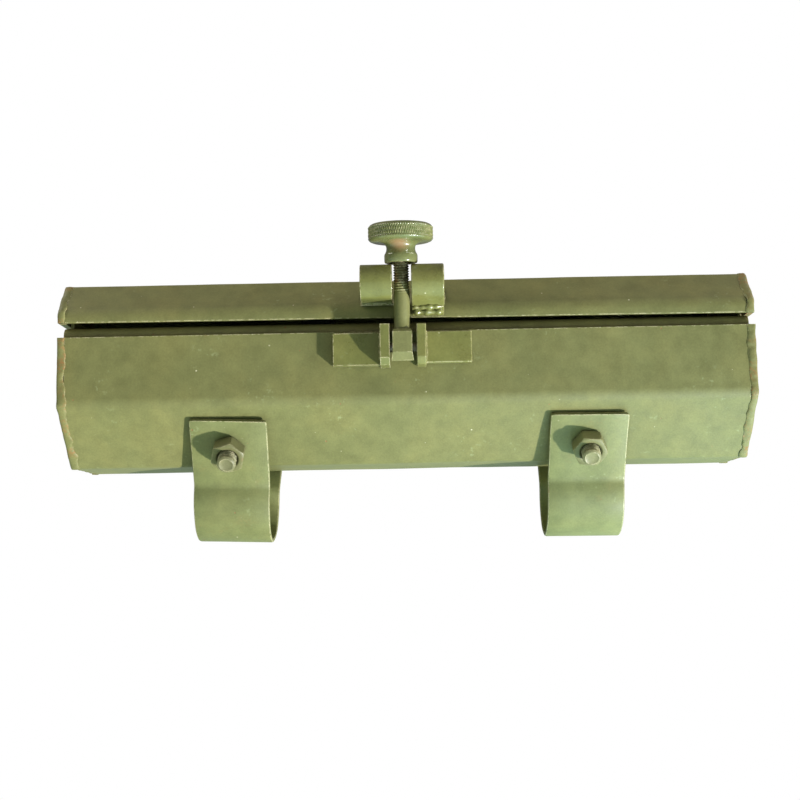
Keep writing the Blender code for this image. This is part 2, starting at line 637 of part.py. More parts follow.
def build():
    clear_scene()
    paint = material("olive_paint", (0.24, 0.28, 0.11), 0.45, 0.0)
    steel = material("bare_steel", (0.30, 0.27, 0.23), 0.5, 0.9)
    brass = material("brass", (0.62, 0.45, 0.20), 0.35, 0.9)
    foam = material("foam", (0.06, 0.06, 0.06), 0.95, 0.0)
    felt = material("felt", (0.12, 0.13, 0.10), 1.0, 0.0)
    black = material("black_anodised", (0.03, 0.03, 0.035), 0.35, 0.6)
    aluminium = material("aluminium", (0.62, 0.63, 0.65), 0.35, 0.9)
    glass = material("coated_glass", (0.75, 0.82, 0.88), 0.05, 0.0)
    rubber = material("rubber", (0.03, 0.03, 0.03), 0.8, 0.0)
    board = material("circuit_board", (0.03, 0.18, 0.08), 0.5, 0.0)
    wrap = material("battery_wrap", (0.10, 0.20, 0.45), 0.4, 0.0)

    lid_axis = make_empty("lid_axis", LID_HINGE)
    latch_axis = make_empty("latch_axis", PIVOT, LATCH_LEAN)

    make_body(paint)
    make_lid(paint, foam, lid_axis)
    for side, x in (("left", -HINGE_X), ("right", HINGE_X)):
        make_hinge(side, x, paint, steel, lid_axis)
    make_bracket("left", LEFT_PRONG_X, LEFT_PAD, paint)
    make_bracket("right", RIGHT_PRONG_X, RIGHT_PAD, paint)
    make_lugs(paint, lid_axis)
    make_swing_bolt(paint, steel, latch_axis)
    make_nut(paint, brass, latch_axis)
    make_straps(paint, steel)
    make_cradles(steel, felt)
    make_collimator(black, aluminium, glass, brass, board, wrap, steel)
    make_window(glass, rubber, aluminium)
    bpy.context.view_layer.update()


build()
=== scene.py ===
"""Looks for the clamp-on laser collimator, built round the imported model.

Metres, +Z up. X runs along the case, -Y is the latch side, +Y the hinge side. Colours are linear.
"""

import json
import math

import bmesh
import bpy
from mathutils import Matrix, Vector, noise


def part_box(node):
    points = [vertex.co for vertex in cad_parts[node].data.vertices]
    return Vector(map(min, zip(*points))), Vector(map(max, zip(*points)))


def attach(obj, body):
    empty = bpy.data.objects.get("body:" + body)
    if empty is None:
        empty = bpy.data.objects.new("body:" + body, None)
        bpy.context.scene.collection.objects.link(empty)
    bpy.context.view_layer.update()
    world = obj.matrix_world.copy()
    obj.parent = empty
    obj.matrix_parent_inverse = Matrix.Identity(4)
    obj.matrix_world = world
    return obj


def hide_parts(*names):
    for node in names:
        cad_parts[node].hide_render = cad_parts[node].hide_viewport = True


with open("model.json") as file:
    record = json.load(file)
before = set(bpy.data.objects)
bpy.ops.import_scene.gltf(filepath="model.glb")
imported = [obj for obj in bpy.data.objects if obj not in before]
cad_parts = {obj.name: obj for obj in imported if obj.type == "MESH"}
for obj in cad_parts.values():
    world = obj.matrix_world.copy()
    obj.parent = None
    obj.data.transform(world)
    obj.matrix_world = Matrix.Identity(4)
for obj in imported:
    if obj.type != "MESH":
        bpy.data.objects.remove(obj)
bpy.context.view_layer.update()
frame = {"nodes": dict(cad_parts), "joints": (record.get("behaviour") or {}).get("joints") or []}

MM = 0.001
UP = Vector((0, 0, 1))
ALONG = Vector((1, 0, 0))

# Case section: outer sizes from the frame's boxes, slopes as in the part's source, bend radii for looks
BODY_LOW, BODY_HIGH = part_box("body_trough")
END_LOW, END_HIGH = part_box("body_end_left")
HALF_DEPTH = END_HIGH.y
HALF_LENGTH = -END_LOW.x
PLATE = END_HIGH.x - END_LOW.x
BODY_RIM = BODY_HIGH.z
BODY_CHAMFER = 18.75 * MM
LID_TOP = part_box("lid_shell")[1].z
LID_BEND = 49 * MM
LID_CHAMFER = 9.8 * MM
LID_RIM = 45.1 * MM
LID_RIM_SKEW = 0.45 * MM            # how much lower the rim is at the right end than at the middle
SHEET = 1.5 * MM
SKIN = 0.1 * MM                     # how far the looks' surfaces stay inside the CAD's
BODY_BENDS = (5.5 * MM, 3 * MM, 3 * MM, 5.5 * MM)
LID_BENDS = (6.5 * MM, 1.8 * MM, 1.8 * MM, 6.5 * MM)
END_BENDS = (2.6 * MM,) * 4
BEAM_Z = 23 * MM
BEAM_HOLE = 8 * MM
BORE_LENGTH = 12 * MM               # long enough for every hole

# Latch
PIVOT = Vector(frame["joints"][0]["pos_m"])
LEAN = math.radians(5.5)
BOLT_RADIUS = 2.5 * MM
BOLT_TOP = 36.5 * MM                # pivot to the bolt's end
THREAD_FOOT = 16.6 * MM             # pivot to where the bolt's thread runs out
KNURL = (34.0, 37.6)                # mm above the pivot
KNURL_TEETH = 84

# Straps and their screws
STRAP_X = (-57.3 * MM, 58.1 * MM)
STRAP_SKEW = (math.radians(2.0), math.radians(0.5))
STRAP_WIDTH = 25 * MM
STRAP = 1.4 * MM
STRAP_HALF_WIDTH = 15.66 * MM
STRAP_CENTRE_Z = -8.9 * MM
TAB_TOP = (-30.5 * MM, 13.2 * MM)
TAB_BOTTOM = (-STRAP_HALF_WIDTH, -6.5 * MM)
TAB_HOLE = 10.6 * MM                # tab's upper edge to its screw
NUT_FLATS = 10 * MM
NUT_HEIGHT = 5.2 * MM
SCREW_RADIUS = 3 * MM
SCREW_OUT = 9.2 * MM
SCREW_IN = 5.9 * MM
SCREW_HEAD = 4 * MM
ROD_STEPS = 48                      # vertices round a threaded rod
ROWS_PER_TURN = 8                   # rings for one turn of a thread

FELT = 1 * MM                       # thickness of the cradles' liners
END_LIP_X = (107.3 * MM, 108.3 * MM)
END_LIP_Z = (37 * MM, 47.9 * MM)

# Camera: place, direction in degrees (up, to the right, tilted) and focal length for a 36 mm sensor
CAMERA_PLACE = (3.335 * MM, -443.83 * MM, -30.24 * MM)
CAMERA_PITCH, CAMERA_YAW, CAMERA_ROLL = 6.795, -0.743, -1.02
FOCAL = 59.0

# Light: the key comes from below on the right, as its shadows on the case show
KEY_FROM = (1.12, -0.69, -0.95)
KEY = 4.75
RIGHT_FROM = (0.30, -0.20, -0.28)
RIGHT_FILL = 0.32
OVERHEAD = 8.0
ROOM_GLOW = 0.17
ROOM_TINT = (1.0, 0.97, 0.92)
FLOOR_Z = -75 * MM
FLOOR_BRIGHT = (170 * MM, -80 * MM, 0.0)    # the floor's brightest place, out to the right
FLOOR_GLOW = (0.05, 1.25)                   # far from that place, and at it
FLOOR_TINT = ((0.68, 0.92, 0.84), (0.57, 0.92, 0.98))   # in the same order

# Paint damage
WARM = (0.235, 0.205, 0.062)        # where the paint has yellowed
SCUFF = (0.37, 0.41, 0.21)
# dark tint for corners and recesses: grime, and painted shade
SHADE_GRIME_TINT = (0.045, 0.036, 0.016)
# pale primer where paint is chipped, and painted highlight along bright edges
CHIP_AND_GLINT = (0.72, 0.62, 0.40)
SPECK = (0.72, 0.66, 0.46)
RUST = (0.33, 0.13, 0.04)
PIT = (0.32, 0.13, 0.05)


# ---------------------------------------------------------------- materials

class Graph:
    """A material's node tree, with short calls for the nodes used here."""

    def __init__(self, name, roughness=0.5):
        self.mat = bpy.data.materials.new(name)
        self.mat.use_nodes = True
        self.tree = self.mat.node_tree
        self.shader = self.tree.nodes["Principled BSDF"]
        self.shader.inputs["Roughness"].default_value = roughness
        self.place = self.add("ShaderNodeTexCoord").outputs["Object"]

    def put(self, socket, value):
        if isinstance(value, bpy.types.NodeSocket):
            self.tree.links.new(value, socket)
        elif isinstance(value, tuple) and len(value) == 3 and socket.type == "RGBA":
            socket.default_value = (*value, 1)
        else:
            socket.default_value = value

    def add(self, kind, inputs=None, **settings):
        node = self.tree.nodes.new(kind)
        for name, value in settings.items():
            setattr(node, name, value)
        for name, value in (inputs or {}).items():
            self.put(node.inputs[name], value)
        return node

    def noise(self, size, detail=3.0, stretch=None, roughness=0.55):
        """Noise of about that feature size in metres, from 0 to 1."""
        place = self.place
        if stretch:
            place = self.add("ShaderNodeMapping", {"Vector": place, "Scale": stretch}).outputs[0]
        inputs = {"Vector": place, "Scale": 1 / size, "Detail": detail, "Roughness": roughness}
        return self.add("ShaderNodeTexNoise", inputs).outputs[0]

    def spots(self, size, radius, seed):
        """Round spots, one in each cell of that size, with a radius that varies from spot to spot."""
        shift = {"Vector": self.place, "Location": (seed, seed * 1.7, seed * 0.6)}
        place = self.add("ShaderNodeMapping", shift).outputs[0]
        warp = self.noise(radius * 1.3, 2)
        cells = self.add("ShaderNodeTexVoronoi", {"Vector": place, "Scale": 1 / size})
        chance = self.add("ShaderNodeSeparateColor", {0: cells.outputs["Color"]}).outputs[0]
        reach = self.math("MULTIPLY", chance, radius / size)
        edge = self.math("ADD", cells.outputs["Distance"], self.math("MULTIPLY", warp, radius / size))
        return self.fade(edge, reach, self.math("MULTIPLY", reach, 1.6), 1, 0)

    def math(self, operation, a, b=0.0):
        return self.add("ShaderNodeMath", {0: a, 1: b}, operation=operation).outputs[0]

    def fade(self, value, low, high, to_low=0.0, to_high=1.0):
        """Maps low to to_low and high to to_high, clamped."""
        inputs = {"Value": value, "From Min": low, "From Max": high, "To Min": to_low, "To Max": to_high}
        return self.add("ShaderNodeMapRange", inputs).outputs[0]

    def mix(self, share, a, b, blend="MIX"):
        node = self.add("ShaderNodeMix", data_type="RGBA", blend_type=blend)
        self.put(node.inputs[0], share)
        self.put(node.inputs[6], a)
        self.put(node.inputs[7], b)
        return node.outputs[2]

    def grey(self, value):
        return self.add("ShaderNodeCombineColor", {0: value, 1: value, 2: value}).outputs[0]

    def distance(self, centre):
        inputs = {0: self.place, 1: centre}
        return self.add("ShaderNodeVectorMath", inputs, operation="DISTANCE").outputs["Value"]

    def edges(self, radius):
        """1 on corners sharper than the radius, 0 on flat faces."""
        soft = self.add("ShaderNodeBevel", {"Radius": radius}, samples=4).outputs[0]
        flat = self.add("ShaderNodeNewGeometry").outputs["Normal"]
        inputs = {0: soft, 1: flat}
        dot = self.add("ShaderNodeVectorMath", inputs, operation="DOT_PRODUCT").outputs["Value"]
        return self.fade(dot, 0.985, 0.90)

    def crevices(self, reach):
        """1 in tight corners, 0 in the open."""
        ao = self.add("ShaderNodeAmbientOcclusion", {"Distance": reach}, samples=4).outputs["AO"]
        return self.fade(ao, 0.75, 0.2)

    def bump(self, height, depth, after=None):
        inputs = {"Height": height, "Distance": depth, "Strength": 1.0}
        if after:
            inputs["Normal"] = after
        return self.add("ShaderNodeBump", inputs).outputs[0]

    def finish(self, **sockets):
        for name, value in sockets.items():
            self.put(self.shader.inputs[name.replace("_", " ")], value)
        return self.mat


def olive_paint(name, light, dark, rust=0.3, grime=0.3, chips=0.7, gloss=0.0, patch=None):
    """Satin enamel over sheet steel: blotchy and speckled, its edges lightened with chips and painted
    highlight, its corners darkened with grime and painted shade.

    A patch is (centre, reach, tint): a place where the paint has worn through to another colour.
    """
    g = Graph(name)
    broad = g.noise(34 * MM, 4)
    mottle = g.noise(5 * MM, 5)
    grain = g.noise(0.6 * MM, 3)
    colour = g.mix(g.fade(broad, 0.35, 0.65), dark, light)
    colour = g.mix(g.fade(g.noise(17 * MM, 3), 0.45, 0.70, 0, 0.30), colour, WARM)
    tone = g.fade(g.math("ADD", mottle, g.math("MULTIPLY", grain, 0.7)), 0.55, 1.15, 0.82, 1.16)
    colour = g.mix(1.0, colour, g.grey(tone), "MULTIPLY")
    scuffed = g.fade(g.noise(15 * MM, 2), 0.54, 0.66)
    scuffs = g.math("MULTIPLY", g.fade(g.noise(1.7 * MM, 5), 0.60, 0.70), scuffed)
    colour = g.mix(g.math("MULTIPLY", scuffs, 0.45), colour, SCUFF)

    # corners darkened by ambient occlusion: partly grime, partly painted shade
    corner_shade_grime = g.math("MULTIPLY", g.crevices(3 * MM), g.fade(mottle, 0.3, 0.6, 0.4, 1.0))
    colour = g.mix(g.math("MULTIPLY", corner_shade_grime, grime), colour, SHADE_GRIME_TINT)

    # edges lightened: chipped paint, and painted highlight along rounded edges
    chip_and_glint_pattern = g.fade(g.noise(1.3 * MM, 4), 0.53 - 0.1 * chips, 0.61 - 0.1 * chips)
    edge_chips_and_glints = g.math("MULTIPLY", g.edges(0.55 * MM), chip_and_glint_pattern)
    colour = g.mix(g.math("MULTIPLY", edge_chips_and_glints, min(0.9, chips)), colour, CHIP_AND_GLINT)
    rusty = g.fade(g.noise(7 * MM, 5), 0.68 - 0.18 * rust, 0.78 - 0.12 * rust)
    rusty = g.math("MULTIPLY", rusty, g.fade(g.edges(0.9 * MM), 0.0, 0.5, 0.5 * rust * rust, 1.0))
    rusty = g.math("MULTIPLY", rusty, g.fade(g.noise(0.9 * MM, 3), 0.42, 0.58))
    colour = g.mix(g.math("MULTIPLY", rusty, 0.8), colour, RUST)
    specks = g.spots(4.6 * MM, 0.34 * MM, 0.31)
    colour = g.mix(g.math("MULTIPLY", specks, 0.85), colour, SPECK)
    pits = g.spots(6 * MM, 0.42 * MM, 0.77)
    colour = g.mix(g.math("MULTIPLY", pits, 0.8), colour, PIT)
    if patch:
        centre, reach, tint = patch
        ragged = g.math("MULTIPLY", g.noise(1.5 * MM, 3), 1.5 * MM)
        away = g.math("ADD", g.distance(centre), ragged)
        colour = g.mix(g.fade(away, reach, reach * 0.45, 0, 0.75), colour, tint)

    rough = g.fade(mottle, 0.3, 0.7, 0.50 - gloss / 2, 0.62 - gloss / 2)
    rough = g.math("ADD", rough, g.math("MULTIPLY", corner_shade_grime, 0.2))
    rough = g.math("ADD", rough, g.math("MULTIPLY", rusty, 0.3))
    relief = g.bump(broad, 0.5 * MM)
    relief = g.bump(g.noise(2.4 * MM, 3), 0.05 * MM, relief)
    relief = g.bump(grain, 0.022 * MM, relief)
    holes = g.math("ADD", g.math("MULTIPLY", edge_chips_and_glints, -1.0), g.math("MULTIPLY", pits, -1.0))
    relief = g.bump(holes, 0.06 * MM, relief)
    varnish = {"Coat_Weight": 0.12 + gloss, "Coat_Roughness": 0.25 - 0.2 * gloss, "Specular_IOR_Level": 0.5}
    return g.finish(Base_Color=colour, Roughness=rough, Normal=relief, **varnish)


def bare_metal(name, colour, tarnish, roughness, amount, turned=False):
    """Machined or drawn metal with patches of tarnish; turned adds fine rings across X."""
    g = Graph(name)
    cloud = g.noise(4 * MM, 5)
    patch_low = 0.62 - 0.3 * amount
    patch_high = 0.80 - 0.2 * amount
    base = g.mix(g.fade(cloud, patch_low, patch_high), colour, tarnish)
    fine = g.noise(0.35 * MM, 2, stretch=(1, 0.04, 0.04) if turned else None)
    rough = g.fade(cloud, 0.3, 0.7, roughness - 0.08, roughness + 0.15)
    rough = g.math("ADD", rough, g.math("MULTIPLY", fine, 0.06))
    metal = g.fade(cloud, patch_low, patch_high, 1.0, 0.35)
    relief = g.bump(fine, 0.008 * MM, g.bump(g.noise(1.2 * MM, 4), 0.02 * MM))
    return g.finish(Base_Color=base, Roughness=rough, Metallic=metal, Normal=relief)


def soft_stuff(name, colour, size, depth, roughness):
    """Foam, felt or rubber: one colour broken up by its own grain."""
    g = Graph(name)
    grain = g.noise(size, 4, roughness=0.7)
    shade = tuple(c * 0.55 for c in colour)
    base = g.mix(g.fade(grain, 0.35, 0.65), shade, colour)
    base = g.mix(g.fade(g.noise(9 * MM, 4), 0.55, 0.75, 0, 0.25), base, (0.20, 0.18, 0.14))
    rough = g.fade(grain, 0.3, 0.7, roughness - 0.1, roughness)
    return g.finish(Base_Color=base, Roughness=rough, Normal=g.bump(grain, depth))


def coated_glass():
    """Clear glass with a blue coating and a little dust."""
    g = Graph("coated_glass")
    dust = g.fade(g.noise(1.5 * MM, 4), 0.60, 0.80, 0.02, 0.16)
    tint = g.mix(g.fade(g.noise(12 * MM, 2), 0.3, 0.7), (0.50, 0.60, 0.72), (0.58, 0.56, 0.74))
    return g.finish(Base_Color=tint, Roughness=dust, Transmission_Weight=1.0, IOR=1.52)


def board_green():
    """Solder mask over a faint grid of traces."""
    g = Graph("circuit_board", roughness=0.4)
    bricks = {"Vector": g.place, "Scale": 220.0, "Mortar Size": 0.03}
    traces = g.add("ShaderNodeTexBrick", bricks).outputs["Fac"]
    base = g.mix(traces, (0.02, 0.16, 0.07), (0.05, 0.26, 0.12))
    return g.finish(Base_Color=base, Normal=g.bump(traces, 0.03 * MM))


def battery_wrap():
    """Plain blue shrink wrap, slightly wavy."""
    g = Graph("battery_wrap")
    cloud = g.noise(6 * MM, 4)
    base = g.mix(g.fade(cloud, 0.3, 0.7), (0.07, 0.15, 0.36), (0.10, 0.20, 0.45))
    rough = g.fade(cloud, 0.3, 0.7, 0.22, 0.38)
    return g.finish(Base_Color=base, Roughness=rough, Normal=g.bump(cloud, 0.05 * MM))


def make_materials():
    """All materials by the short names that the pieces ask for."""
    light = (0.197, 0.192, 0.070)
    dark = (0.173, 0.172, 0.060)
    neck = bolt_turn() @ Vector((-0.5 * MM, -4.5 * MM, 32.6 * MM))
    worn_neck = (tuple(neck), 4.6 * MM, (0.36, 0.19, 0.10))
    paints = {
        "paint": (light, dark, {}),
        "weld": (light, dark, {"rust": 1.25, "grime": 0.8, "chips": 0.45}),
        # the strap's and fittings' high edge amount paints highlight lines along their edges
        "strap": ((0.212, 0.226, 0.088), (0.182, 0.192, 0.070), {"rust": 0.5, "chips": 1.6}),
        # the lip's lighter colour is painted light, standing in for light that doesn't reach it under the lid
        "lip": ((0.30, 0.265, 0.105), (0.23, 0.205, 0.080), {"rust": 0.5, "grime": 0.35}),
        "nut": ((0.215, 0.215, 0.088), (0.150, 0.140, 0.055), {"rust": 0.45, "grime": 0.6}),
        "stud": ((0.25, 0.24, 0.12), (0.15, 0.14, 0.065), {"rust": 0.6, "grime": 0.7}),
        # dark brown of bare, oily thread, darkened further as painted shade between the lugs
        "thread": ((0.12, 0.10, 0.045), (0.07, 0.055, 0.028), {"rust": 0.7, "grime": 0.9}),
        "fitting": ((0.205, 0.205, 0.062), (0.165, 0.170, 0.050), {"chips": 1.5, "gloss": 0.5}),
        "knob": (
            (0.175, 0.195, 0.075), (0.135, 0.155, 0.058),
            {"rust": 0.4, "chips": 0.5, "gloss": 0.6, "patch": worn_neck},
        ),
    }
    mats = {key: olive_paint(f"olive_{key}", *pair, **wear) for key, (*pair, wear) in paints.items()}
    anodised = ((0.035, 0.035, 0.040), (0.06, 0.055, 0.05))
    mats |= {
        "cradle": olive_paint("cradle_paint", (0.11, 0.12, 0.06), (0.08, 0.09, 0.04)),
        "steel": bare_metal("bare_steel", (0.36, 0.33, 0.28), (0.12, 0.06, 0.03), 0.42, 0.7),
        "brass": bare_metal("brass", (0.62, 0.44, 0.18), (0.25, 0.16, 0.06), 0.30, 0.2, turned=True),
        "aluminium": bare_metal("aluminium", (0.66, 0.67, 0.69), (0.40, 0.40, 0.38), 0.30, 0.1, turned=True),
        "black": bare_metal("black_anodised", *anodised, 0.34, 0.1, turned=True),
        "felt": soft_stuff("felt", (0.13, 0.14, 0.11), 0.35 * MM, 0.12 * MM, 1.0),
        "foam": soft_stuff("foam", (0.055, 0.055, 0.055), 0.8 * MM, 0.25 * MM, 0.95),
        "rubber": soft_stuff("rubber", (0.035, 0.035, 0.035), 0.5 * MM, 0.03 * MM, 0.75),
        "glass": coated_glass(),
        "board": board_green(),
        "wrap": battery_wrap(),
    }
    return mats


# ---------------------------------------------------------------- mesh tools

def add_piece(name, verts, faces, mat, body, replaces=(), smooth=35, bevel=0.0):
    """A mesh piece on a body, with its faces turned out."""
    bm = bmesh.new()
    made = [bm.verts.new(v) for v in verts]
    for face in faces:
        bm.faces.new([made[i] for i in dict.fromkeys(face)])
    bmesh.ops.recalc_face_normals(bm, faces=bm.faces)
    mesh = bpy.data.meshes.new(name)
    bm.to_mesh(mesh)
    bm.free()
    mesh.shade_smooth()
    mesh.set_sharp_from_angle(angle=math.radians(smooth))
    mesh.materials.append(mat)
    obj = bpy.data.objects.new(name, mesh)
    bpy.context.scene.collection.objects.link(obj)
    if bevel:
        add_bevel(obj, bevel)
    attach(obj, body)
    if replaces:
        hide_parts(*replaces)
    return obj


def add_bevel(obj, width):
    bevel = obj.modifiers.new("edge", "BEVEL")
    bevel.width = width
    bevel.segments = 3
    bevel.limit_method = "ANGLE"
    bevel.angle_limit = math.radians(32)
    normals = obj.modifiers.new("normals", "WEIGHTED_NORMAL")
    normals.keep_sharp = False
    normals.weight = 60


def loft(rings, closed=False):
    """Vertices and faces of a skin over rings of equal size; closed joins the last ring to the first."""
    size = len(rings[0])
    verts = [v for ring in rings for v in ring]
    faces = []
    last = len(rings) if closed else len(rings) - 1
    for k in range(last):
        here = k * size
        there = (k + 1) % len(rings) * size
        for i in range(size):
            j = (i + 1) % size
            faces.append((here + i, here + j, there + j, there + i))
    if not closed:
        faces.append(tuple(range(size)))
        faces.append(tuple(range(len(verts) - size, len(verts))))
    return verts, faces


def round_ring(reach, height, steps):
    """A level ring round Z; reach(angle) is its radius."""
    ring = []
    for i in range(steps):
        angle = 2 * math.pi * i / steps
        radius = reach(angle)
        ring.append(Vector((radius * math.cos(angle), radius * math.sin(angle), height)))
    return ring


def fillet(path, radii, steps=7):
    """The open (y, z) path with each corner rounded to its radius."""
    points = [Vector(path[0])]
    for before, corner, after, radius in zip(path, path[1:], path[2:], radii):
        corner = Vector(corner)
        back = (Vector(before) - corner).normalized()
        ahead = (Vector(after) - corner).normalized()
        half = back.angle(ahead) / 2
        reach = radius / math.tan(half)
        start = corner + back * reach
        end = corner + ahead * reach
        centre = corner + (back + ahead).normalized() * (radius / math.sin(half))
        for i in range(steps + 1):
            share = i / steps
            spoke = (start - centre).lerp(end - centre, share).normalized()
            points.append(centre + spoke * radius)
    points.append(Vector(path[-1]))
    return points


def spread(path, spacing):
    """The path's points, with more between them so that none are further apart than spacing."""
    points = []
    for a, b in zip(path, path[1:]):
        count = max(1, math.ceil((Vector(b) - Vector(a)).length / spacing))
        points += [Vector(a).lerp(Vector(b), i / count) for i in range(count)]
    points.append(Vector(path[-1]))
    return points


def side_normals(path):
    """Unit normals on the left of an open 2D path."""
    normals = []
    for i in range(len(path)):
        step = path[min(i + 1, len(path) - 1)] - path[max(i - 1, 0)]
        normals.append(Vector((-step.y, step.x)).normalized())
    return normals


def wobble(point, size, amount, seed=0.0):
    """Smooth noise with features of about that size, from -amount to amount."""
    return noise.noise(Vector(point) / size + Vector((seed, seed, seed))) * amount


def body_path():
    """The body's outer section as (y, z), from the front rim round to the rear rim."""
    flat = HALF_DEPTH - BODY_CHAMFER
    return [
        (-HALF_DEPTH, BODY_RIM), (-HALF_DEPTH, BODY_CHAMFER), (-flat, 0),
        (flat, 0), (HALF_DEPTH, BODY_CHAMFER), (HALF_DEPTH, BODY_RIM),
    ]


def lid_path(rim):
    """The lid's outer section as (y, z), from the rear rim round to the front rim."""
    flat = HALF_DEPTH - LID_CHAMFER
    return [
        (HALF_DEPTH, rim), (HALF_DEPTH, LID_BEND), (flat, LID_TOP),
        (-flat, LID_TOP), (-HALF_DEPTH, LID_BEND), (-HALF_DEPTH, rim),
    ]


def lid_rim_at(x):
    """Height of the lid's rim, which isn't quite level."""
    return LID_RIM - LID_RIM_SKEW * x / HALF_LENGTH


# ---------------------------------------------------------------- pieces

def make_shell(name, path_at, bends, body, mat, replaces):
    """A bent, slightly wavy sheet along X; path_at(x) is its outer section."""
    rings = []
    count = 90
    for k in range(count + 1):
        x = BODY_LOW.x + (BODY_HIGH.x - BODY_LOW.x) * k / count
        path = spread(fillet(path_at(x), bends), 5 * MM)
        outer = []
        inner = []
        for point, normal in zip(path, side_normals(path)):
            place = (x, point.x, point.y)
            push = wobble(place, 32 * MM, 0.16 * MM) + wobble(place, 9 * MM, 0.04 * MM, 5)
            for face, depth in ((outer, SKIN), (inner, SHEET)):
                moved = point + normal * (push + depth)
                face.append(Vector((x, moved.x, moved.y)))
        rings.append(outer + inner[::-1])
    verts, faces = loft(rings)
    return add_piece(name, verts, faces, mat, body, replaces, bevel=0.28 * MM)


def make_end(name, path, side, body, mat, replaces, seed, hole=None):
    """An end plate with a ragged edge; side is -1 at the left, 1 at the right. A hole is (centre, radius)."""
    outline = spread(fillet(path, END_BENDS, 4), 1.3 * MM)
    normals = side_normals(outline)
    layers = ((0.0, 0.5), (0.12, 0.35), (0.9, 0.35), (0.97, 0.5), (1.0, 0.8))   # share of thickness, mm in
    rings = []
    for share, inset in layers:
        ring = []
        for point, normal in zip(outline, normals):
            place = (side * 3, point.x, point.y)
            moved = point + normal * (inset * MM + wobble(place, 3 * MM, 0.2 * MM, seed))
            out = HALF_LENGTH - PLATE * (1 - share) - wobble(place, 5 * MM, 0.10 * MM, seed) - SKIN
            ring.append(Vector((side * out, moved.x, moved.y)))
        rings.append(ring)
    verts, faces = loft(rings)
    obj = add_piece(name, verts, faces, mat, body, replaces, smooth=50)
    if hole:
        bore(obj, hole[0], ALONG, hole[1])
    return obj


def weld_seam(name, path, side, facing, body, mat, seed):
    """The weld over an end plate's front or rear edge: a flat, lumpy ridge whose inner edge wanders."""
    whole = spread(fillet(path, END_BENDS, 5), 0.5 * MM)
    flat = abs(path[2][0])
    outline = [point for point in whole if point.x * facing > flat - 1 * MM]
    ridge = (
        (0.0, -0.35), (0.03, 0.15), (0.12, 0.62), (0.30, 0.92), (0.52, 1.0), (0.74, 0.85),
        (0.92, 0.35), (1.0, -0.6), (0.97, -2.2), (0.5, -2.2),
    )                                   # share of the width, share of the crest's height
    rings = []
    for i, (point, normal) in enumerate(zip(outline, side_normals(outline))):
        place = (side * 3, point.x, point.y)
        taper = min(1.0, 0.4 + min(i, len(outline) - 1 - i) * 0.2)
        wander = wobble(place, 8 * MM, 0.9 * MM, seed) + wobble(place, 2.6 * MM, 0.7 * MM, seed + 4)
        inner = HALF_LENGTH - 2.7 * MM - wander
        outer = HALF_LENGTH - 0.05 * MM + wobble(place, 4 * MM, 0.25 * MM, seed + 2)
        crest = 0.34 * MM + wobble(place, 4 * MM, 0.26 * MM, seed + 8)
        crest += wobble(place, 1.2 * MM, 0.16 * MM, seed + 9)
        ring = []
        for share, height in ridge:
            lift = crest * height
            if height > 0:
                lift = lift * taper + wobble((share * 3 * MM, point.x, point.y), 1.1 * MM, 0.12 * MM, seed)
            moved = point - normal * lift
            ring.append(Vector((side * (inner + (outer - inner) * share), moved.x, moved.y)))
        rings.append(ring)
    verts, faces = loft(rings)
    return add_piece(name, verts, faces, mat, body, smooth=50)


def bore(obj, centre, direction, radius):
    """Cuts a round hole through obj, as deep to both sides of centre."""
    bm = bmesh.new()
    bmesh.ops.create_cone(bm, cap_ends=True, segments=64, radius1=radius, radius2=radius, depth=BORE_LENGTH)
    turn = UP.rotation_difference(Vector(direction)).to_matrix().to_4x4()
    bm.transform(Matrix.Translation(centre) @ turn)
    mesh = bpy.data.meshes.new("cutter")
    bm.to_mesh(mesh)
    bm.free()
    tool = bpy.data.objects.new("cutter", mesh)
    bpy.context.scene.collection.objects.link(tool)
    cut = obj.modifiers.new("hole", "BOOLEAN")
    cut.operation = "DIFFERENCE"
    cut.object = tool
    with bpy.context.temp_override(object=obj, active_object=obj, selected_objects=[obj]):
        bpy.ops.object.modifier_apply(modifier=cut.name)
    bpy.data.objects.remove(tool)
    obj.data.set_sharp_from_angle(angle=math.radians(35))


def weld_bead(name, path, radius, body, mat, seed, ripple=1.5 * MM):
    """A hand-laid bead: a lumpy tube with rippled width along the path."""
    points = spread([Vector(p) for p in path], 0.45 * MM)
    sides = 10
    rings = []
    walked = 0.0
    for i, point in enumerate(points):
        ahead = points[min(i + 1, len(points) - 1)] - points[max(i - 1, 0)]
        across = ahead.normalized().orthogonal().normalized()
        other = ahead.normalized().cross(across)
        if i:
            walked += (point - points[i - 1]).length
        rippled = 0.16 * math.sin(walked / ripple * 2 * math.pi)
        size = radius * (0.80 + wobble(point, 3.2 * MM, 0.55, seed) + rippled)
        taper = min(1.0, 0.25 + min(i, len(points) - 1 - i) / 3)
        drift_x = wobble(point, 4 * MM, 0.3 * MM, seed + 3)
        drift = Vector((drift_x, 0, wobble(point, 4 * MM, 0.15 * MM, seed + 7)))
        ring = []
        for k in range(sides):
            angle = 2 * math.pi * k / sides
            spoke = across * math.cos(angle) + other * math.sin(angle)
            lump = 1 + wobble(point + spoke * radius, 0.9 * MM, 0.25, seed)
            ring.append(point + drift + spoke * size * taper * lump)
        rings.append(ring)
    verts, faces = loft(rings)
    return add_piece(name, verts, faces, mat, body, smooth=60)


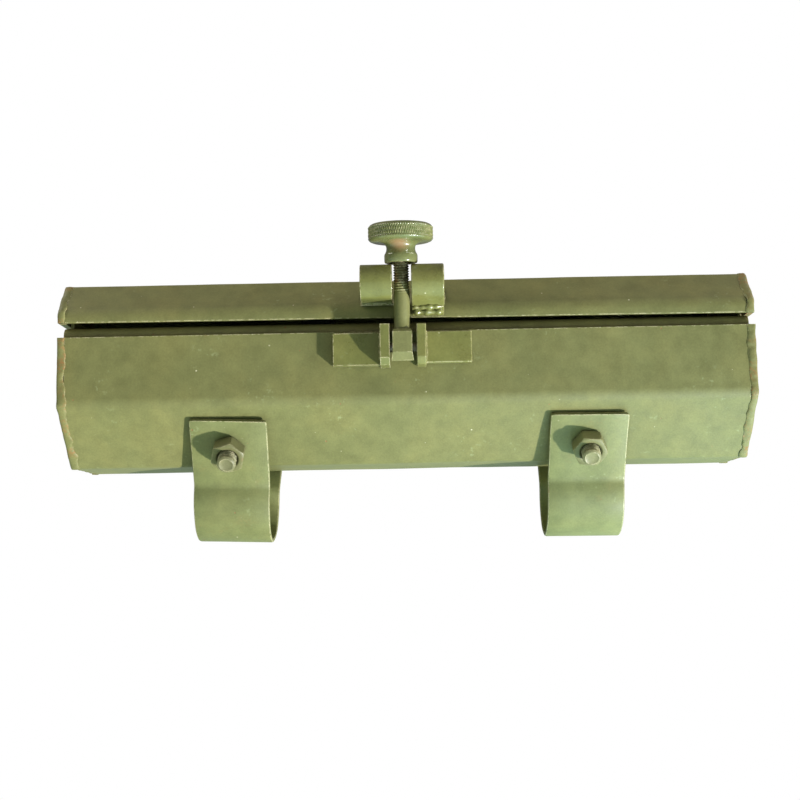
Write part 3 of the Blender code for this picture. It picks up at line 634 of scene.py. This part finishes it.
def make_case(mats):
    """Both shells, the end plates and the welds over their edges."""
    paint = mats["paint"]
    weld = mats["weld"]
    shell = make_shell("case_shell", lambda x: body_path(), BODY_BENDS, "case", paint, ("body_trough",))
    for x in STRAP_X:
        for side in (-1, 1):
            base, out = screw_axis(x, side)
            bore(shell, base - out * 5 * MM, out, SCREW_RADIUS + 0.4 * MM)
    make_shell("lid_skin", lambda x: lid_path(lid_rim_at(x)), LID_BENDS, "lid", paint, ("lid_shell",))
    beam = (Vector((HALF_LENGTH, 0, BEAM_Z)), BEAM_HOLE)
    for side, word in ((-1, "left"), (1, "right")):
        body = body_path()
        lid = lid_path(lid_rim_at(side * HALF_LENGTH))
        hole = beam if side > 0 else None
        make_end(f"case_plate_{word}", body, side, "case", weld, (f"body_end_{word}",), 11 + side, hole)
        make_end(f"lid_plate_{word}", lid, side, "lid", weld, (f"lid_end_{word}",), 21 + side)
        for facing, place in ((-1, "front"), (1, "rear")):
            seed = 31 + side + facing * 7
            weld_seam(f"case_seam_{place}_{word}", body, side, facing, "case", weld, seed)
            weld_seam(f"lid_seam_{place}_{word}", lid, side, facing, "lid", weld, seed + 20)


def strap_line():
    """Outer line of a U strap in (y, z), from the front tab's edge to the rear tab's."""
    top = Vector(TAB_TOP)
    along = (Vector(TAB_BOTTOM) - top).normalized()
    tip = [top + along * 0.15 * MM * k ** 1.3 for k in range(7)]
    bend = fillet([tip[-1], TAB_BOTTOM, (TAB_BOTTOM[0], STRAP_CENTRE_Z)], (4 * MM,), 6)
    tab = tip[:-1] + spread(bend, 1.2 * MM)
    steps = 40
    bow = []
    for i in range(1, steps):
        angle = math.pi + math.pi * i / steps
        spoke = Vector((math.cos(angle), math.sin(angle)))
        bow.append(Vector((0, STRAP_CENTRE_Z)) + spoke * STRAP_HALF_WIDTH)
    return tab + bow + [Vector((-p.x, p.y)) for p in reversed(tab)]


def screw_axis(x, side):
    """Where a strap screw meets the tab's outer face, and its outward direction."""
    top = Vector(TAB_TOP)
    along = (Vector(TAB_BOTTOM) - top).normalized()
    hole = top + along * TAB_HOLE
    return Vector((x, -side * hole.x, hole.y)), Vector((0, side * -along.y, -along.x))


def strip_section(half):
    """Section of the strap's strip with rounded edges, as (across, deep)."""
    edge = 0.62 * MM
    corner = ((edge, 0), (edge * 0.3, edge * 0.3), (0, edge))
    left = [(across - half, deep) for across, deep in corner]
    left += [(across, STRAP - deep) for across, deep in reversed(left)]
    right = [(-across, deep) for across, deep in reversed(left)]
    return left + [(-half / 3, STRAP), (half / 3, STRAP)] + right + [(half / 3, 0), (-half / 3, 0)]


def make_strap(word, x, skew, mat):
    """A U strap: a slightly bent strip with rounded corners, swept along strap_line."""
    line = strap_line()
    walked = [0.0]
    for a, b in zip(line, line[1:]):
        walked.append(walked[-1] + (b - a).length)
    pivot = Vector((0, 0, screw_axis(0, -1)[0].z))
    about = Matrix.Translation(pivot + ALONG * x)
    turn = about @ Matrix.Rotation(skew, 4, "Y") @ Matrix.Translation(-pivot)
    corner = 0.8 * MM
    rings = []
    for point, normal, s in zip(line, side_normals(line), walked):
        from_end = min(s, walked[-1] - s)
        pinch = corner - math.sqrt(max(0.0, corner ** 2 - max(0.0, corner - from_end) ** 2))
        section = []
        for across, deep in strip_section(STRAP_WIDTH / 2 - pinch):
            bend = wobble((across, point.x, point.y), 14 * MM, 0.12 * MM, x * 100)
            side_bend = wobble((0, point.x, point.y), 12 * MM, 0.15 * MM, x * 50 + (across > 0))
            place = point + normal * (deep + 0.06 * MM + bend)
            section.append(turn @ Vector((across + side_bend, place.x, place.y)))
        rings.append(section)
    verts, faces = loft(rings)
    add_piece(f"u_strap_{word}", verts, faces, mat, "case", (f"strap_{word}",), smooth=40)


def turn_to(base, direction, spin):
    """Placement that stands things on base with their Z along direction, turned round it by spin."""
    turn = UP.rotation_difference(direction).to_matrix().to_4x4()
    return Matrix.Translation(base) @ turn @ Matrix.Rotation(spin, 4, "Z")


def hex_reach(angle, flats):
    """Distance from a hexagon's centre to its edge at an angle."""
    sixth = math.pi / 3
    return flats / 2 / math.cos((angle % sixth) - sixth / 2)


def make_strap_nut(name, x, side, spin, mat):
    """A hexagon nut with both faces chamfered."""
    base, out = screw_axis(x, side)
    steps = 96
    crown = NUT_FLATS / 2 * 0.97
    bore_radius = SCREW_RADIUS + 0.15 * MM
    foot = 0.45 * MM
    rings = [[] for _ in range(8)]
    for i in range(steps):
        angle = 2 * math.pi * i / steps
        reach = min(hex_reach(angle, NUT_FLATS), NUT_FLATS / 2 * 1.135)
        drop = (reach - crown) * math.tan(math.radians(30))
        profile = (
            (bore_radius, foot), (crown, foot), (reach, foot + drop), (reach, foot + NUT_HEIGHT - drop),
            (crown, foot + NUT_HEIGHT), (bore_radius + 0.55 * MM, foot + NUT_HEIGHT),
            (bore_radius, foot + NUT_HEIGHT - 0.5 * MM), (bore_radius, foot + NUT_HEIGHT / 2),
        )
        for ring, (radius, height) in zip(rings, profile):
            ring.append(Vector((radius * math.cos(angle), radius * math.sin(angle), height)))
    turn = turn_to(base, out, spin)
    rings = [[turn @ v for v in ring] for ring in rings]
    verts, faces = loft(rings, closed=True)
    add_piece(
        f"hex_{name}", verts, faces, mat, "case", (name,), smooth=25, bevel=0.18 * MM,
    )


def threaded(profile_end, length, radius, pitch, depth, runout):
    """Rings of a threaded rod from height 0 up: a helix that fades out below and ends in profile_end."""
    rings = []
    count = round(length / pitch * ROWS_PER_TURN)
    for k in range(count + 1):
        height = length * k / count
        fade = min(1.0, height / runout) * min(1.0, max(0.15, (length - height) / pitch))

        def reach(angle):
            phase = (height / pitch - angle / (2 * math.pi)) % 1.0
            groove = 1 - abs(2 * phase - 1)
            return radius - depth * fade * max(0.0, min(1.0, 1.35 * groove - 0.15))

        rings.append(round_ring(reach, height, ROD_STEPS))
    for end_radius, height in profile_end:
        rings.append(round_ring(lambda angle: end_radius, length + height, ROD_STEPS))
    return rings


def make_strap_screw(name, x, side, spin, mat):
    """The threaded screw with its hexagon head inside the case."""
    base, out = screw_axis(x, side)
    stem = SCREW_OUT + SCREW_IN
    end = [
        (SCREW_RADIUS - 0.5 * MM, 0.45 * MM), (SCREW_RADIUS - 0.8 * MM, 0.55 * MM),
        (SCREW_RADIUS - 1.3 * MM, 0.30 * MM), (SCREW_RADIUS - 2.2 * MM, 0.22 * MM),
    ]
    rings = threaded(end, stem - 0.55 * MM, SCREW_RADIUS - 0.02 * MM, 1.0 * MM, 0.42 * MM, 2.5 * MM)
    turn = turn_to(base - out * SCREW_IN, out, spin)
    verts, faces = loft([[turn @ v for v in ring] for ring in rings])
    add_piece(f"threaded_{name}", verts, faces, mat, "case", (name,), smooth=30)

    head = [[] for _ in range(5)]
    for i in range(ROD_STEPS):
        angle = 2 * math.pi * i / ROD_STEPS
        reach = hex_reach(angle, NUT_FLATS)
        drop = (reach - NUT_FLATS / 2) * math.tan(math.radians(30))
        profile = (
            (1 * MM, 0), (reach, 0), (reach, SCREW_HEAD - drop), (NUT_FLATS / 2, SCREW_HEAD),
            (1 * MM, SCREW_HEAD - 0.05 * MM),
        )
        for ring, (radius, height) in zip(head, profile):
            ring.append(Vector((radius * math.cos(angle), radius * math.sin(angle), -height)))
    verts, faces = loft([[turn @ v for v in ring] for ring in head])
    add_piece(f"head_{name}", verts, faces, mat, "case", smooth=25, bevel=0.15 * MM)


def make_straps(mats):
    """Both straps with their screws and nuts, each nut turned its own way."""
    spins = {"front_left": 0.30, "front_right": 0.95, "rear_left": 0.6, "rear_right": 0.1}
    for word, x, skew in zip(("left", "right"), STRAP_X, STRAP_SKEW):
        make_strap(word, x, skew, mats["strap"])
        for place, side in (("front", -1), ("rear", 1)):
            spin = spins[f"{place}_{word}"]
            make_strap_nut(f"strap_nut_{place}_{word}", x, side, spin, mats["nut"])
            make_strap_screw(f"strap_screw_{place}_{word}", x, side, spin, mats["stud"])


def bolt_turn():
    return Matrix.Translation(PIVOT) @ Matrix.Rotation(LEAN, 4, "X")


def make_swing_bolt(mats):
    """The flat eye, the shank with the painted foot of its thread, and the thread above, dark as bare metal
    and as painted shade between the lugs.
    """
    turn = bolt_turn()
    sections = (
        (-4.1, 7.0, -1.6, 1.6), (-1.5, 6.1, -3.6, 3.6), (4.9, 6.1, -3.6, 3.6), (5.7, 5.3, -3.0, 3.0),
    )                                   # mm: height, width, front, back
    rings = []
    for height, width, front, back in sections:
        corners = ((-1, front), (1, front), (1, back), (-1, back))
        rings.append([turn @ Vector((s * width / 2 * MM, y * MM, height * MM)) for s, y in corners])
    verts, faces = loft(rings)
    paint = mats["paint"]
    body = "swing_bolt"
    eye = add_piece("swing_bolt_eye", verts, faces, paint, body, ("swing_bolt",), smooth=25)
    bore(eye, PIVOT, ALONG, 1.8 * MM)
    add_bevel(eye, 0.35 * MM)

    end = [(BOLT_RADIUS - 0.6 * MM, 0.5 * MM), (BOLT_RADIUS - 1.2 * MM, 0.55 * MM)]
    thread = threaded(end, BOLT_TOP - THREAD_FOOT - 0.55 * MM, BOLT_RADIUS, 0.8 * MM, 0.36 * MM, 2.4 * MM)
    foot = []
    for height in (4.6, 5.6, 9, 13, 16):
        radius = BOLT_RADIUS + max(0.0, 5.6 - height) * MM * 0.5
        foot.append(round_ring(lambda angle: radius, height * MM - THREAD_FOOT, ROD_STEPS))
    lift = turn @ Matrix.Translation((0, 0, THREAD_FOOT))
    painted = 36                        # rings of thread in olive paint; the dark rings above are bare metal and painted shade between the lugs
    verts, faces = loft([[lift @ v for v in ring] for ring in foot + thread[:painted + 1]])
    add_piece("swing_bolt_shank", verts, faces, paint, body, smooth=40)
    verts, faces = loft([[lift @ v for v in ring] for ring in thread[painted:]])
    add_piece("swing_bolt_thread", verts, faces, mats["thread"], body, smooth=40)


def knurl(angle, height):
    """Depth of the knob's diamond knurl in mm, 0 above and below its band."""
    low, high = KNURL
    if not low < height < high:
        return 0.0
    slant = (height - 36.2) / 0.95 * math.pi * 0.4
    turn = angle * KNURL_TEETH / 2
    wave = abs(math.sin(turn + slant)) * abs(math.sin(turn - slant))
    return 0.26 * min(1.0, (height - low) / 0.3, (high - height) / 0.3) * (1 - wave)


def make_knob(mat):
    """The knurled nut: a turned body, given as (radius, height) in mm above the bolt's pivot."""
    neck = [
        (3.9, 26.5), (4.7, 26.42), (5.05, 26.55), (5.2, 26.9), (5.22, 28.6), (5.15, 29.1), (4.85, 29.6),
        (4.58, 30.3), (4.5, 31.0), (4.58, 31.6), (4.85, 32.15), (5.4, 32.6), (6.3, 32.9), (7.8, 33.0),
        (9.1, 33.1), (9.7, 33.35), (10.05, 33.75),
    ]
    rim = [(10.2, 34.1 + 0.2 * k) for k in range(18)]
    crown = [(9.95, 37.75), (9.6, 38.2), (9.0, 38.5), (7.8, 38.62), (5.0, 38.7), (2.0, 38.75), (0.3, 38.75)]
    inside = [(0.3, 37.1), (3.6, 37.1), (3.9, 36.8)]
    steps = KNURL_TEETH * 6
    rings = []
    for radius, height in neck + rim + crown + inside:
        rings.append(round_ring(lambda angle: (radius - knurl(angle, height)) * MM, height * MM, steps))
    turn = bolt_turn()
    verts, faces = loft([[turn @ v for v in ring] for ring in rings], closed=True)
    add_piece("knurled_knob", verts, faces, mat, "knurled_nut", ("knurled_nut",), smooth=55)


def soften(node, mat, width):
    """Gives a CAD node its material and rounds its edges."""
    obj = frame["nodes"][node]
    obj.data.materials.clear()
    obj.data.materials.append(mat)
    if width:
        join = obj.modifiers.new("join", "WELD")
        join.merge_threshold = 0.00002
        flat = obj.modifiers.new("flat", "DECIMATE")
        flat.decimate_type = "DISSOLVE"
        flat.angle_limit = math.radians(1)
        add_bevel(obj, width)
    return obj


def make_latch_welds(mats):
    """Beads under the right lug, beside both lugs and in the brackets' inner corners."""
    slope = Vector((0, LID_CHAMFER, LID_TOP - LID_BEND)).normalized()
    left_low, left_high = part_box("catch_lug_left")
    right_low, right_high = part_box("catch_lug_right")
    under = ((3.2, 0.9, 1.35, 3.7), (5.7, 2.0, 1.0, 2.4))       # mm: out, up, radius, ripple
    for k, (out, rise, radius, ripple) in enumerate(under):
        y = -HALF_DEPTH - out * MM
        z = right_low.z + rise * MM
        route = [(right_low.x + 0.2 * MM, y, z), (right_high.x - 0.2 * MM, y, z)]
        weld_bead(f"lug_bead_under_{k}", route, radius * MM, "lid", mats["fitting"], 41 + k, ripple * MM)
    beside = (
        ("left_outer", left_low.x - 0.1 * MM), ("left_inner", left_high.x + 0.1 * MM),
        ("right_inner", right_low.x - 0.1 * MM), ("right_outer", right_high.x + 0.1 * MM),
    )
    for name, x in beside:
        start = Vector((x, -HALF_DEPTH - 0.2 * MM, LID_BEND))
        route = [start, start + slope * 9.5 * MM]
        weld_bead(f"lug_bead_{name}", route, 0.45 * MM, "lid", mats["paint"], 45 + x * 900)
    for word, x in (("left", -7.9 * MM), ("right", 6.7 * MM)):
        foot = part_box(f"latch_bracket_{word}")[0].z
        y = -HALF_DEPTH - 3.3 * MM
        route = [(x, y, foot + 1.6 * MM), (x, y, foot + 10.6 * MM)]
        weld_bead(f"bracket_bead_{word}", route, 0.42 * MM, "case", mats["paint"], 51 + x * 900)


def dress_frame(mats):
    """Materials and rounded edges for the CAD nodes that stay."""
    looks = [
        ("fitting", 0.4, ("latch_bracket_left", "latch_bracket_right")),
        ("fitting", 0.45, ("catch_lug_left", "catch_lug_right")),
        ("paint", 0.2, (
            "hinge_leaf_body_left", "hinge_leaf_body_right", "hinge_leaf_lid_left", "hinge_leaf_lid_right",
        )),
        ("lip", 0.2, ("front_lip", "rear_lip")),
        ("steel", 0.2, ("hinge_pin_left", "hinge_pin_right", "latch_pivot_pin")),
        ("steel", 0, ("battery_spring",)),
        ("brass", 0.15, (
            "nut_thread_sleeve", "alignment_screw_1", "alignment_screw_2", "alignment_screw_3",
            "laser_diode", "switch_button",
        )),
        ("cradle", 0.5, ("cradle_left", "cradle_right")),
        ("black", 0.25, ("collimator_tube", "lens_retaining_ring", "battery_sleeve", "battery_cap")),
        ("aluminium", 0.25, ("lens_cell", "diode_housing", "window_holder")),
        ("glass", 0, ("objective_lens", "beam_window")),
        ("rubber", 0.1, ("window_gasket",)),
        ("board", 0.1, ("circuit_board",)),
        ("wrap", 0.4, ("battery",)),
    ]
    for look, width, nodes in looks:
        for node in nodes:
            soften(node, mats[look], width * MM)


def make_felt(mat):
    """Felt liners in the cradles: arcs with soft edges and an uneven nap."""
    half_section = ((1, 0.35), (0.985, 0.12), (0.95, 0), (0, 0))       # share of half length, of thickness
    outside = [(-share, depth) for share, depth in half_section] + list(reversed(half_section[:3]))
    inside = [
        (1, 0.65), (0.985, 0.88), (0.95, 0.97), (0.6, 1), (0.2, 1), (-0.2, 1), (-0.6, 1), (-0.95, 0.97),
        (-0.985, 0.88), (-1, 0.65),
    ]
    steps = 80
    for word in ("left", "right"):
        low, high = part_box(f"cradle_pad_{word}")
        outer = (high.y - low.y) / 2
        middle = Vector(((low.x + high.x) / 2, 0, low.z + outer))
        half = (high.x - low.x) / 2
        rings = []
        for k in range(steps + 1):
            angle = math.radians(184 + 172 * k / steps)
            thick = FELT * (1 - 0.35 * max(0.0, 1 - min(k, steps - k) / 2))
            ring = []
            for share, depth in outside + inside:
                x = share * half * 0.99 + wobble((share, angle, 0), 0.3, 0.15 * MM, low.x * 100)
                reach = outer - thick * depth
                if depth > 0.5:
                    reach += max(0.0, wobble((share * half, angle * outer, 0), 2.5 * MM, 0.10 * MM, 3))
                ring.append(middle + Vector((x, reach * math.cos(angle), reach * math.sin(angle))))
            rings.append(ring)
        verts, faces = loft(rings)
        obj = add_piece(
            f"felt_{word}", verts, faces, mat, "case", (f"cradle_pad_{word}",), smooth=60,
        )


def make_foam(mat):
    """Foam pads under the lid: blocks with slack, rounded edges."""
    for word in ("left", "right"):
        low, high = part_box(f"lid_pad_{word}")
        centre = (low + high) / 2
        size = high - low
        bm = bmesh.new()
        bmesh.ops.create_cube(bm, size=1)
        bmesh.ops.subdivide_edges(bm, edges=bm.edges, cuts=7, use_grid_fill=True)
        for v in bm.verts:
            share = v.co * 2
            ease = [1 - 0.06 * (share[(k + 1) % 3] ** 4 + share[(k + 2) % 3] ** 4) / 2 for k in range(3)]
            v.co = Vector([centre[k] + v.co[k] * size[k] * ease[k] for k in range(3)])
            v.co += Vector((wobble(v.co, 6 * MM, 0.2 * MM), wobble(v.co, 6 * MM, 0.2 * MM, 9), 0))
        mesh = bpy.data.meshes.new(f"foam_{word}")
        bm.to_mesh(mesh)
        bm.free()
        mesh.shade_smooth()
        mesh.materials.append(mat)
        obj = bpy.data.objects.new(f"foam_{word}", mesh)
        bpy.context.scene.collection.objects.link(obj)
        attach(obj, "lid")
        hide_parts(f"lid_pad_{word}")


def make_end_lips(mat):
    """Strips behind the end plates that keep light from coming in over the ends, under the lid."""
    near, far = END_LIP_X
    foot, top = END_LIP_Z
    turn = 0.3 * MM                     # bevel of the upper edge
    corners = (
        (near, foot), (far, foot), (far, top - turn),
        (far - turn, top), (near + turn, top), (near, top - turn),
    )
    for side, word in ((-1, "left"), (1, "right")):
        rings = []
        for y in range(-26, 27, 2):
            sag = wobble((side, y * MM, 0), 9 * MM, 0.15 * MM)
            rings.append([Vector((side * (x + sag), y * MM, z)) for x, z in corners])
        verts, faces = loft(rings)
        add_piece(f"end_lip_{word}", verts, faces, mat, "case", smooth=40)


# ---------------------------------------------------------------- studio

def make_camera():
    pitch = math.radians(CAMERA_PITCH)
    yaw = math.radians(CAMERA_YAW)
    roll = math.radians(CAMERA_ROLL)
    ahead = Vector((math.sin(yaw) * math.cos(pitch), math.cos(yaw) * math.cos(pitch), math.sin(pitch)))
    level = Vector((math.cos(yaw), -math.sin(yaw), 0))
    raised = level.cross(ahead)
    right = level * math.cos(roll) + raised * math.sin(roll)
    up = raised * math.cos(roll) - level * math.sin(roll)
    data = bpy.data.cameras.new("camera")
    data.sensor_width = 36
    data.lens = FOCAL
    data.clip_start = 0.01
    camera = bpy.data.objects.new("camera", data)
    rotation = Matrix((right, up, -ahead)).transposed().to_4x4()
    camera.matrix_world = Matrix.Translation(CAMERA_PLACE) @ rotation
    bpy.context.scene.collection.objects.link(camera)
    bpy.context.scene.camera = camera


def make_floor():
    """Pale paper that lights the case from below, more so at the right.

    The camera doesn't see it: when all joints are at their limit, the nut hangs lower than this.
    """
    bm = bmesh.new()
    bmesh.ops.create_grid(bm, x_segments=8, y_segments=8, size=3.0)
    mesh = bpy.data.meshes.new("floor")
    bm.to_mesh(mesh)
    bm.free()
    g = Graph("floor_white", roughness=0.9)
    away = g.distance(FLOOR_BRIGHT)
    far_glow, near_glow = FLOOR_GLOW
    far_tint, near_tint = FLOOR_TINT
    glow = g.fade(away, 40 * MM, 210 * MM, near_glow, far_glow)
    tint = g.mix(g.fade(away, 100 * MM, 240 * MM), near_tint, far_tint)
    mesh.materials.append(g.finish(Base_Color=tint, Emission_Color=tint, Emission_Strength=glow))
    floor = bpy.data.objects.new("floor", mesh)
    floor.location.z = FLOOR_Z
    floor.visible_shadow = False
    floor.visible_camera = False
    bpy.context.scene.collection.objects.link(floor)


def make_world():
    """White to the camera, a dim warm room to the object."""
    world = bpy.data.worlds.new("studio")
    world.use_nodes = True
    tree = world.node_tree
    backdrop = tree.nodes["Background"]
    backdrop.inputs["Color"].default_value = (1, 1, 1, 1)
    backdrop.inputs["Strength"].default_value = 1.0
    room = tree.nodes.new("ShaderNodeBackground")
    room.inputs["Color"].default_value = (*ROOM_TINT, 1)
    room.inputs["Strength"].default_value = ROOM_GLOW
    path = tree.nodes.new("ShaderNodeLightPath")
    choice = tree.nodes.new("ShaderNodeMixShader")
    tree.links.new(path.outputs["Is Camera Ray"], choice.inputs["Fac"])
    tree.links.new(room.outputs[0], choice.inputs[1])
    tree.links.new(backdrop.outputs[0], choice.inputs[2])
    tree.links.new(choice.outputs[0], tree.nodes["World Output"].inputs["Surface"])
    bpy.context.scene.world = world


def make_light(name, kind, toward, energy, **settings):
    """A lamp that stands at toward and shines on the object's middle."""
    data = bpy.data.lights.new(name, kind)
    data.energy = energy
    for key, value in settings.items():
        setattr(data, key, value)
    lamp = bpy.data.objects.new(name, data)
    lamp.location = toward
    lamp.rotation_euler = Vector(toward).to_track_quat("Z", "Y").to_euler()
    bpy.context.scene.collection.objects.link(lamp)


def make_studio():
    bpy.context.scene.view_settings.view_transform = "Standard"
    make_camera()
    make_floor()
    make_world()
    make_light("key", "SUN", KEY_FROM, KEY, angle=math.radians(2.5), color=(1.0, 0.98, 0.93))
    make_light("right_fill", "AREA", RIGHT_FROM, RIGHT_FILL, size=0.12, color=(0.75, 0.93, 1.3))
    for side in (-1, 1):
        place = (side * 0.9, -0.1, 0.9)
        make_light(f"overhead_{side}", "AREA", place, OVERHEAD, size=0.7, color=(1.0, 0.97, 0.84))


mats = make_materials()
make_studio()
make_case(mats)
make_straps(mats)
make_swing_bolt(mats)
make_knob(mats["knob"])
make_latch_welds(mats)
dress_frame(mats)
make_felt(mats["felt"])
make_foam(mats["foam"])
make_end_lips(mats["lip"])
